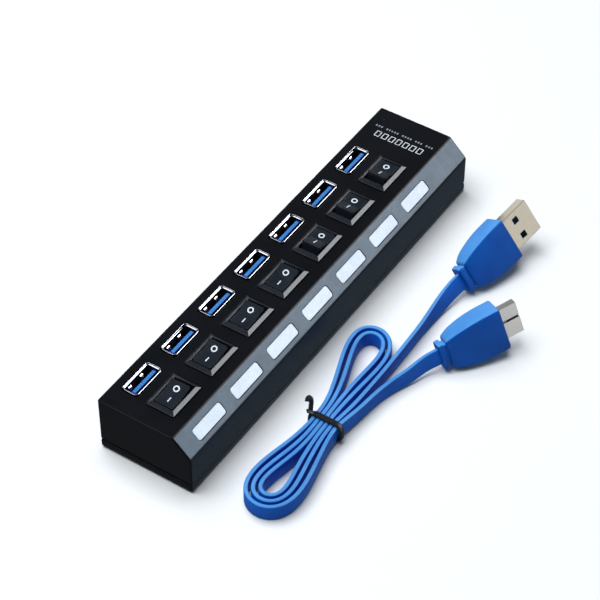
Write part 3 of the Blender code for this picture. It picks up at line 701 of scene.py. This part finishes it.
# %% Sweep the cord along its route
LEAN_OVER = 30 * MM  # the cord turns over along this much of each tail


def eased(value):
    value = min(1.0, max(0.0, value))
    return value * value * (3 - 2 * value)


def travelled(points):
    lengths = [0.0]
    for a, b in zip(points, points[1:]):
        lengths.append(lengths[-1] + (b - a).length)
    return lengths


def cord_frames(points):
    """For each point: the point, the direction across the cord's width, and the one out of its face."""
    lengths = travelled(points)
    total = lengths[-1]
    frames = []
    for i, point in enumerate(points):
        ahead = (points[min(i + 1, len(points) - 1)] - points[max(i - 1, 0)]).normalized()
        level = Vector((0, 0, 1)).cross(ahead).normalized()
        upright = ahead.cross(level)
        small = 1 - eased(lengths[i] / LEAN_OVER)
        large = 1 - eased((total - lengths[i]) / LEAN_OVER)
        lean = math.radians(small * -(90 - SMALL_ROLL) + large * (90 - LARGE_ROLL))
        width = upright * math.cos(lean) + level * math.sin(lean)
        frames.append((point, width, ahead.cross(width).normalized()))
    return frames


section = rounded_ring(RIBBON_WIDTH / 2, RIBBON_THICK / 2, 0.55 * MM, 3)
cord_mesh = loft("flat_cable", [[p + a * w + b * n for a, b in section] for p, w, n in cord_frames(route)])
smooth_shade(cord_mesh, 60)
cable = finished_piece(
    "flat_cable", cord_mesh, cord_pvc, "cord_vinyl", "hub",
    "cable_hank", "cable_to_large_plug", "cable_to_small_plug",
)
cord_mesh.materials.append(highlight_painted_pvc)
# these narrow faces get the painted highlight
NARROW_FACES = (0, 1, 2, 6, 7)  # of the 8 faces in each half of the section
for face in cord_mesh.polygons[2:]:  # after the two caps, the faces go round the section in order
    if (face.index - 2) % 8 in NARROW_FACES:
        face.material_index = 1
print("cord faces:", len(cord_mesh.polygons))

# %% [markdown]
# ## The plugs' grips
#
# A grip is moulded over the cord and the shell in one shot: a collar, a groove that lets it flex, and a
# swelling body with an almost flat broad face. The rings in between follow a smooth curve, and the front
# edge is rounded off.

# %% Grips
GRIP_LENGTH, FRONT_ROUND = 22.4, 0.7  # in mm
GRIP_NARROW_FACES = (0, 1, 2, 8, 9)  # of the 10 faces in each half of an outline


def grip_rings(shell_half):
    """(x, half width, half thickness, radius) in mm, from the cord end to the pocket for the shell."""
    rings = [(0.0, 4.6, 2.0, 0.8), (0.1, 4.8, 2.2, 0.9), (0.35, 4.9, 2.3, 0.9), (1.55, 4.9, 2.3, 0.9)]
    rings += [(1.75, 4.8, 2.2, 0.9), (1.85, 4.25, 1.85, 0.8), (2.75, 4.2, 1.8, 0.8), (2.85, 5.1, 2.35, 0.8)]
    swell = [(3.1, 5.4, 2.6), (6.0, 6.5, 3.3), (11.0, 7.4, 3.8), (16.0, 7.8, 4.0)]
    swell.append((GRIP_LENGTH - FRONT_ROUND, 7.8, 4.0))
    rings += [(*point, 0.8) for point in smooth_route([Vector(point) for point in swell], 1.0)]
    for step in range(1, 5):
        turn = math.radians(90) * step / 4
        inwards = FRONT_ROUND * (1 - math.cos(turn))
        x = GRIP_LENGTH - FRONT_ROUND + FRONT_ROUND * math.sin(turn)
        rings.append((x, 7.8 - inwards, 4.0 - inwards, 0.8))
    edge = (shell_half[0] + 0.18, shell_half[1] + 0.18, 0.4)
    return rings + [(GRIP_LENGTH, *edge), (22.2, *edge), (20.95, *edge)]


def make_grip(name, place, shell_half, node):
    rings = []
    for x, a, b, r in grip_rings(shell_half):
        outline = rounded_ring(a * MM, b * MM, r * MM)
        rings.append([place @ Vector((x * MM, p, q)) for p, q in outline])
    mesh = loft(name, rings)
    smooth_shade(mesh, 38)
    grip = finished_piece(name, mesh, grip_pvc, "plug_vinyl", "hub", node)
    # the grip's narrow faces get the same painted highlight
    mesh.materials.append(highlight_painted_pvc)
    for face in mesh.polygons[2:]:
        if (face.index - 2) % 10 in GRIP_NARROW_FACES:
            face.material_index = 1
    return grip


large_grip = make_grip("large_plug_grip", large_plug, (6.0, 2.25), "large_plug_body")
small_grip = make_grip("small_plug_grip", small_plug, (5.7, 1.3), "small_plug_body")
print("grips:", large_grip.name, small_grip.name)

# %% [markdown]
# Inside the large plug's shell lies a blue insulator. It fills the half that faces the
# table, so the two latch windows in the upper face look into the dark. The small plug has a black one, and
# a black strip down in the groove between the two halves of its shell: painted shade in that groove.

# %% Insulators inside the plugs


def box_mesh(name, low, high, place=None, edge=0.08 * MM):
    """A block with bevelled edges, between two corners in a plug's frame or in the world."""
    shape = bmesh.new()
    bmesh.ops.create_cube(shape, size=1.0)
    for vert in shape.verts:
        vert.co = Vector([(a + b) / 2 + c * (b - a) for a, b, c in zip(low, high, vert.co)])
    bmesh.ops.bevel(shape, geom=shape.edges[:], offset=edge, segments=2, profile=0.5, affect="EDGES")
    if place:
        shape.transform(place)
    mesh = bpy.data.meshes.new(name)
    shape.to_mesh(mesh)
    shape.free()
    smooth_shade(mesh, 35)
    return mesh


def in_mm(*values):
    return [value * MM for value in values]


finished_piece(
    "large_plug_insulator",
    box_mesh("large_plug_insulator", in_mm(22.6, -5.55, -1.85), in_mm(33.6, 5.55, -1.0), large_plug),
    tongue_pbt,
    "tongue_blue",
    "hub",
)
# painted shade: a black strip down in the groove of the small plug's shell
finished_piece(
    "small_plug_seam",
    box_mesh("small_plug_seam", in_mm(24.4, 0.15, 0.55), in_mm(28.7, 0.85, 0.78), small_plug),
    socket_nylon,
    "socket_black",
    "hub",
)
finished_piece(
    "small_plug_insulator",
    box_mesh("small_plug_insulator", in_mm(22.6, -5.1, -0.9), in_mm(28.2, -0.5, 0.1), small_plug),
    socket_nylon,
    "socket_black",
    "hub",
)
print("made two insulators and a groove shade strip")

# %% [markdown]
# ## Rows of small parts with Geometry Nodes
#
# Contacts and printed marks come in even rows. A small node tree sets one shape on the points of a line,
# turns the copies into real geometry and gives them their finish. The result is made a plain mesh, so the
# tree isn't needed afterwards.

# %% A node tree that repeats a shape along a line


def row_tree():
    tree = bpy.data.node_groups.new("row of copies", "GeometryNodeTree")
    inputs = {
        "Shape": "NodeSocketObject",
        "Count": "NodeSocketInt",
        "Step": "NodeSocketVector",
        "Start": "NodeSocketVector",
        "Finish": "NodeSocketMaterial",
    }
    for name, kind in inputs.items():
        tree.interface.new_socket(name, in_out="INPUT", socket_type=kind)
    tree.interface.new_socket("Geometry", in_out="OUTPUT", socket_type="NodeSocketGeometry")
    given = add_node(tree, "NodeGroupInput")
    line = add_node(
        tree,
        "GeometryNodeMeshLine",
        {"mode": "OFFSET"},
        None,
        {"Count": (given, "Count"), "Start Location": (given, "Start"), "Offset": (given, "Step")},
    )
    shape = add_node(tree, "GeometryNodeObjectInfo", None, None, {"Object": (given, "Shape")})
    copies = add_node(
        tree,
        "GeometryNodeInstanceOnPoints",
        None,
        None,
        {"Points": (line, "Mesh"), "Instance": (shape, "Geometry")},
    )
    real = add_node(tree, "GeometryNodeRealizeInstances", None, None, {"Geometry": (copies, "Instances")})
    finish = add_node(
        tree,
        "GeometryNodeSetMaterial",
        None,
        None,
        {"Geometry": (real, "Geometry"), "Material": (given, "Finish")},
    )
    add_node(tree, "NodeGroupOutput", None, None, {"Geometry": (finish, "Geometry")})
    return tree


ROW = row_tree()
SOCKETS = {item.name: item.identifier for item in ROW.interface.items_tree if item.in_out == "INPUT"}


def make_row(name, shape_mesh, count, start, step, material, slot, body="hub"):
    """A row of copies of a mesh, as one plain piece."""
    shape = bpy.data.objects.new(name + "_shape", shape_mesh)
    bpy.context.scene.collection.objects.link(shape)
    holder = bpy.data.objects.new(name + "_holder", bpy.data.meshes.new(name + "_holder"))
    bpy.context.scene.collection.objects.link(holder)
    repeat = holder.modifiers.new("row", "NODES")
    repeat.node_group = ROW
    values = {"Shape": shape, "Count": count, "Step": step, "Start": start, "Finish": material}
    for socket, value in values.items():
        repeat[SOCKETS[socket]] = value
    mesh = plain_mesh(holder, name)
    bpy.data.objects.remove(shape)
    return finished_piece(name, mesh, material, slot, body)


print("row inputs:", list(SOCKETS))

# %% [markdown]
# Inside its shell each port has a black lining, a dark sheet that stands for painted shade inside the port,
# and the shell's mouth turns inwards as a short bright lip.
# Two spring fingers reach through the long wall, to press on a plug's shell. A finger is a strip that rises
# and falls in a half wave, so that only its crest catches light. The tongue carries gold contacts on the
# side that faces those springs.

# %% Linings, lips, springs and contacts in the ports
PORT_Y = 10.7 * MM
SHELL_TOP = 21.9 * MM
SPRING_AT = (-3.2 * MM, 2.6 * MM)
CONTACT_PITCH = 2.5 * MM
NEXT_PORT = (STATION_PITCH, 0, 0)


def tube_mesh(name, profile):
    """A closed profile of (half x, half y, z) in mm, swept round a rounded rectangle."""
    rings = []
    for a, b, z in profile:
        rings.append([Vector((p, q, z * MM)) for p, q in rounded_ring(a * MM, b * MM, 0.75 * MM)])
    return loft(name, rings, closed=True)


def spring_mesh():
    """A finger 1.3 mm wide that bulges 1 mm out of the wall, with its crest below the lip."""
    half, sheet = 0.65 * MM, 0.2 * MM
    rings = []
    for step in range(13):
        share = step / 12
        z = SHELL_TOP - (1.9 + 3.6 * share) * MM
        bulge = 1.0 * MM * math.sin(math.pi * share) ** 0.8
        y = 2.5 * MM - bulge
        rings.append([(-half, y, z), (half, y, z), (half, y + sheet, z), (-half, y + sheet, z)])
    return loft("spring", rings)


# painted shade: a black sheet over the inside of the steel walls, so the port's inside reads dark
painted_shade_lining = tube_mesh("painted_shade_lining", [(6.24, 2.54, 7.6), (6.24, 2.54, 21.1), (6.1, 2.4, 21.1), (6.1, 2.4, 7.6)])
lip = tube_mesh("lip", [(6.5, 2.8, 21.92), (6.1, 2.4, 21.45), (6.08, 2.38, 21.0), (6.4, 2.7, 21.0)])
start = (FIRST_STATION, PORT_Y, 0)
make_row("port_linings", painted_shade_lining, 7, start, NEXT_PORT, socket_nylon, "socket_black")
make_row("port_lips", lip, 7, start, NEXT_PORT, port_nickel, "port_steel")
for number, x in enumerate(SPRING_AT, 1):
    start = (FIRST_STATION + x, PORT_Y, 0)
    make_row(f"port_springs_{number}", spring_mesh(), 7, start, NEXT_PORT, port_nickel, "port_steel")
for number in range(4):
    start = (FIRST_STATION + (number - 1.5) * CONTACT_PITCH, PORT_Y, 0)
    finger = box_mesh("finger", in_mm(-0.5, 0.2, 13.0), in_mm(0.5, 0.32, 20.2), edge=0.03 * MM)
    make_row(f"port_contacts_{number + 1}", finger, 7, start, NEXT_PORT, gold, "plated_brass")
print("rows in the ports:", 2 + len(SPRING_AT) + 4)

# %% [markdown]
# ## Printed marks
#
# Each rocker carries a ring on its far half and a bar on its near half. Ink is a film, so a mark is a flat
# shape with a very small height, laid on the rocker's own sloping face. It rides on the rocker's body.

# %% Marks on the rockers
PIVOT_Z, SWITCH_Y = 19.25 * MM, -1.2 * MM
PRESSED_NEAR = 4  # the first four rockers rest with the near end down, the others with the far end down
REST_TILT = math.radians(11.5)
ROCKER_VALLEY, ROCKER_TIP, ROCKER_HALF = 3.3 * MM, 4.256 * MM, 4.7 * MM
INK_LIFT = 0.04 * MM
RING_OUTER, RING_INNER, BAR_HALF_WIDTH = 1.08 * MM, 0.64 * MM, 0.2 * MM
# for each rest position, in mm: the ring's place on the rocker's face, the bar's place, and half its length
MARKS_NEAR_DOWN = ((2.15, -0.05), (-2.1, -0.3), 0.95)
MARKS_FAR_DOWN = ((2.0, 0.15), (-2.35, -0.15), 1.2)


def ring_mark(outer, inner, sides=32):
    """A flat ring of ink, as the rings of points to loft between."""
    rings = []
    for radius, z in ((inner, 0), (outer, 0), (outer, INK_LIFT), (inner, INK_LIFT)):
        turns = [math.tau * side / sides for side in range(sides)]
        rings.append([Vector((radius * math.cos(turn), radius * math.sin(turn), z)) for turn in turns])
    return rings


def on_rocker(number, along_x, across_y):
    """The frame of a point on a rocker's face at rest: x along the face, z out of it."""
    tip = 1 if along_x > 0 else -1
    slope = math.atan2(ROCKER_TIP - ROCKER_VALLEY, ROCKER_HALF)
    height = ROCKER_VALLEY + abs(along_x) * math.tan(slope)
    face = Matrix.Translation((along_x, across_y, height)) @ Matrix.Rotation(-tip * slope, 4, "Y")
    rest = -1 if number <= PRESSED_NEAR else 1
    x = FIRST_STATION + (number - 1) * STATION_PITCH
    pivot = Matrix.Translation((x, SWITCH_Y, PIVOT_Z))
    return pivot @ Matrix.Rotation(rest * REST_TILT, 4, "Y") @ face


for i in STATIONS:
    ring_at, bar_at, bar_half = MARKS_NEAR_DOWN if i <= PRESSED_NEAR else MARKS_FAR_DOWN
    place = on_rocker(i, *in_mm(*ring_at))
    ring_points = [[place @ point for point in ring] for ring in ring_mark(RING_OUTER, RING_INNER)]
    ring = loft(f"switch_mark_ring_{i}", ring_points, closed=True)
    finished_piece(f"switch_mark_ring_{i}", ring, switch_ink, None, f"rocker_{i}")
    place = on_rocker(i, *in_mm(*bar_at))
    corner = Vector((bar_half * MM, BAR_HALF_WIDTH, 0))
    bar = box_mesh(f"switch_mark_bar_{i}", -corner, corner + Vector((0, 0, INK_LIFT)), place, 0.015 * MM)
    finished_piece(f"switch_mark_bar_{i}", bar, switch_ink, None, f"rocker_{i}")
print("rocker marks:", 2 * len(STATIONS))

# %% [markdown]
# The far end of the top carries seven plain outlines, one for each port, and a line of small grey dashes.

# %% Marks on the top
CASE_TOP = 21.5 * MM
MARKS_START, MARK_PITCH = (68.4 * MM, 10.7 * MM, 0), 2.74 * MM
DASH_X, DASH_START_Y, DASH_PITCH = 72.0, -8.4, 1.04  # in mm
DASH_COUNTS = (3, 3, 4, 5, 3)


def frame_mark(half_a, half_b, radius, stroke):
    """The outline of a rounded rectangle, printed on the top."""
    rings = []
    for inset, z in ((stroke, 0), (0, 0), (0, INK_LIFT), (stroke, INK_LIFT)):
        outline = rounded_ring(half_a - inset, half_b - inset, radius - inset / 2)
        rings.append([Vector((a, b, CASE_TOP + z)) for a, b in outline])
    return loft("frame", rings, closed=True)


def dash_mark():
    outline = rounded_ring(0.40 * MM, 0.28 * MM, 0.12 * MM)
    return loft("dash", [[(a, b, CASE_TOP + z) for a, b in outline] for z in (0, INK_LIFT)])


port_symbol = frame_mark(1.4 * MM, 0.95 * MM, 0.16 * MM, 0.26 * MM)
make_row("top_marks", port_symbol, 7, MARKS_START, (0, -MARK_PITCH, 0), switch_ink, None)
dash_y = DASH_START_Y
for number, count in enumerate(DASH_COUNTS, 1):
    start = (DASH_X * MM, dash_y * MM, 0)
    step = (0, DASH_PITCH * MM, 0)
    make_row(f"top_small_marks_{number}", dash_mark(), count, start, step, grey_ink, None)
    dash_y += (count + 1) * DASH_PITCH
print("marks on the top: 7 outlines,", sum(DASH_COUNTS), "dashes")

# %% [markdown]
# ## The tie
#
# A flat tie with a wire core goes once round the waist of the hank. Its two ends are twisted together on
# top and stick out, one of them in a curl.

# %% Band and ends of the tie
BAND_HALF = (5.5 * MM, 3.25 * MM)
BAND_OUT = 0.85 * MM  # how far the band stands out from the cords


def band_mesh():
    """A rounded band round the hank, with soft edges."""
    centre = Vector((TIE[0], TIE[1], BAND_HALF[1] + BAND_OUT))
    profile = [(-1.0, 0.3), (-0.8, 0.0), (0.8, 0.0), (1.0, 0.3)]
    profile += [(0.9, 0.65), (0.5, 0.85), (-0.5, 0.85), (-0.9, 0.65)]
    rings = []
    for x, out in profile:
        outline = rounded_ring(BAND_HALF[0] + out * MM, BAND_HALF[1] + out * MM, (2.2 + out) * MM, 6)
        rings.append([centre + Vector((x * MM, a, b)) for a, b in outline])
    return loft("tie_band", rings, closed=True)


def flat_strip(name, points, width, thick):
    """A narrow strip along a route, with its broad side facing up."""
    outline = rounded_ring(width / 2, thick / 2, thick * 0.4, 2)
    rings = []
    for i, point in enumerate(points):
        ahead = (points[min(i + 1, len(points) - 1)] - points[max(i - 1, 0)]).normalized()
        side = Vector((0, 0, 1)).cross(ahead).normalized()
        out = ahead.cross(side)
        rings.append([point + a * side + b * out for a, b in outline])
    return loft(name, rings)


band = band_mesh()
smooth_shade(band)
finished_piece("tie_band", band, tie_pvc, "tie_vinyl", "hub", "cable_tie")

TIE_ENDS = {
    "tie_end_curled": [
        (-39, -32.7, 5.6), (-38.9, -32.3, 7.2), (-38.2, -31.9, 8.4), (-37.2, -31.4, 9.2),
        (-36.5, -30.9, 10.1), (-36.7, -30.5, 11.0), (-37.7, -30.4, 11.2), (-38.5, -30.7, 10.6),
    ],
    "tie_end_short": [(-39.1, -33.6, 7.3), (-39.6, -32.6, 8.2), (-40.3, -31.9, 8.7)],
}
for name, points in TIE_ENDS.items():
    curve = smooth_route([Vector(point) * MM for point in points], 0.5 * MM)
    strip = flat_strip(name, curve, 1.5 * MM, 0.7 * MM)
    smooth_shade(strip)
    finished_piece(name, strip, tie_pvc, "tie_vinyl", "hub")
print("tie made, loose ends:", len(TIE_ENDS))
